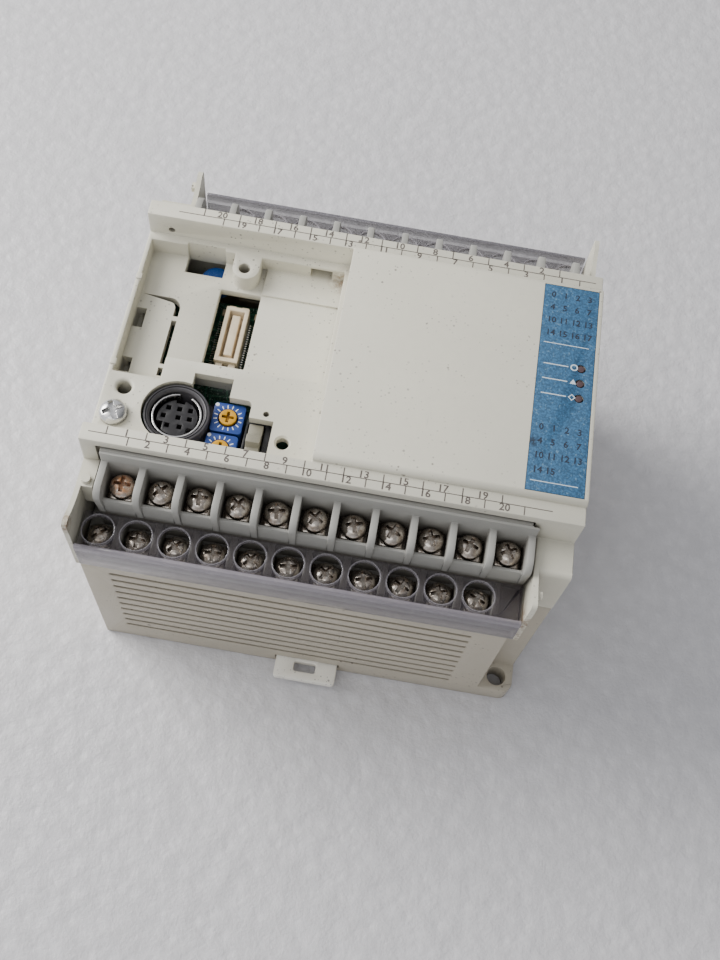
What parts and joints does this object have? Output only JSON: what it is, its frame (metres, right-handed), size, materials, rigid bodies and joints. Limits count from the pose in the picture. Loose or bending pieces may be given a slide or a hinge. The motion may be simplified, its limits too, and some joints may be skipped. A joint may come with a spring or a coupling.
{
  "type": "programmable controller module",
  "caption": "Compact rail-mounted programmable controller: boxy two-part case, stepped top with an open option recess, round port, and two-tier screw terminals under clear guards.",
  "frame": {"origin": "middle of the mounting face, on the centre line of the rail channel", "axes": "+Z away from the rail or panel, +X along the rail, -Y towards the side with the latch tongue"},
  "size_m": [0.1, 0.0969, 0.075],
  "materials": {
    "lower_case": "light grey-beige moulded plastic",
    "upper_case": "warm light grey moulded plastic",
    "latch": "off-white moulded plastic",
    "label": "printed blue film",
    "lamp": "dark lens, unlit",
    "terminal_block": "grey moulded plastic",
    "clear_guard": "smoky clear plastic",
    "terminal_screw": "nickel-plated steel, a little tarnished",
    "ground_screw": "bright zinc-plated steel",
    "circuit_board": "dark green solder mask",
    "connector": "cream moulded plastic",
    "socket": "black moulded plastic",
    "socket_shield": "nickel-plated sheet",
    "trimmer_body": "blue moulded plastic",
    "trimmer_rotor": "yellow moulded plastic",
    "switch_body": "black moulded plastic",
    "switch_slider": "light grey moulded plastic",
    "core_steel": "varnished core",
    "winding": "yellow tape over copper wire",
    "relay": "black sealed relay case",
    "bulk_capacitor": "sleeved can",
    "disc_capacitor": "blue lacquer"
  },
  "bodies": {
    "case": {"base_case": "lower_case", "top_case": "upper_case", "status_label": "label", "power_lamp": "lamp", "run_lamp": "lamp", "error_lamp": "lamp", "front_terminal_block": "terminal_block", "back_terminal_block": "terminal_block", "front_terminal_guard": "clear_guard", "back_terminal_guard": "clear_guard", "front_upper_screw_1": "terminal_screw", "front_lower_screw_1": "terminal_screw", "front_upper_screw_2": "terminal_screw", "front_lower_screw_2": "terminal_screw", "front_upper_screw_3": "terminal_screw", "front_lower_screw_3": "terminal_screw", "front_upper_screw_4": "terminal_screw", "front_lower_screw_4": "terminal_screw", "front_upper_screw_5": "terminal_screw", "front_lower_screw_5": "terminal_screw", "front_upper_screw_6": "terminal_screw", "front_lower_screw_6": "terminal_screw", "front_upper_screw_7": "terminal_screw", "front_lower_screw_7": "terminal_screw", "front_upper_screw_8": "terminal_screw", "front_lower_screw_8": "terminal_screw", "front_upper_screw_9": "terminal_screw", "front_lower_screw_9": "terminal_screw", "front_upper_screw_10": "terminal_screw", "front_lower_screw_10": "terminal_screw", "front_upper_screw_11": "terminal_screw", "front_lower_screw_11": "terminal_screw", "ground_screw": "ground_screw", "main_board": "circuit_board", "option_connector": "connector", "port_socket_body": "socket", "port_socket_shield": "socket_shield", "port_socket_core": "socket", "trimmer_1_body": "trimmer_body", "trimmer_2_body": "trimmer_body", "run_switch_body": "switch_body", "power_board": "circuit_board", "transformer_core": "core_steel", "transformer_winding": "winding", "relay_1": "relay", "relay_2": "relay", "relay_3": "relay", "relay_4": "relay", "bulk_capacitor": "bulk_capacitor", "disc_capacitor": "disc_capacitor"},
    "latch": {"din_latch": "latch"},
    "run_slider": {"run_switch_slider": "switch_slider"},
    "trimmer_1_turn": {"trimmer_1_rotor": "trimmer_rotor"},
    "trimmer_2_turn": {"trimmer_2_rotor": "trimmer_rotor"}
  },
  "joints": [
    {"name": "latch_slide", "type": "slide", "parent": "case", "child": "latch", "axis": [0, -1, 0], "range_m": [0, 0.0045], "stiffness_N_per_m": 2000},
    {"name": "run_switch_slide", "type": "slide", "parent": "case", "child": "run_slider", "axis": [0, -1, 0], "range_m": [0, 0.002]},
    {"name": "trimmer_1_pivot", "type": "hinge", "parent": "case", "child": "trimmer_1_turn", "pos_m": [-0.0237, -0.0155, 0.064], "axis": [0, 0, 1], "range_deg": [-130, 130]},
    {"name": "trimmer_2_pivot", "type": "hinge", "parent": "case", "child": "trimmer_2_turn", "pos_m": [-0.0239, -0.0228, 0.064], "axis": [0, 0, 1], "range_deg": [-130, 130]}
  ]
}
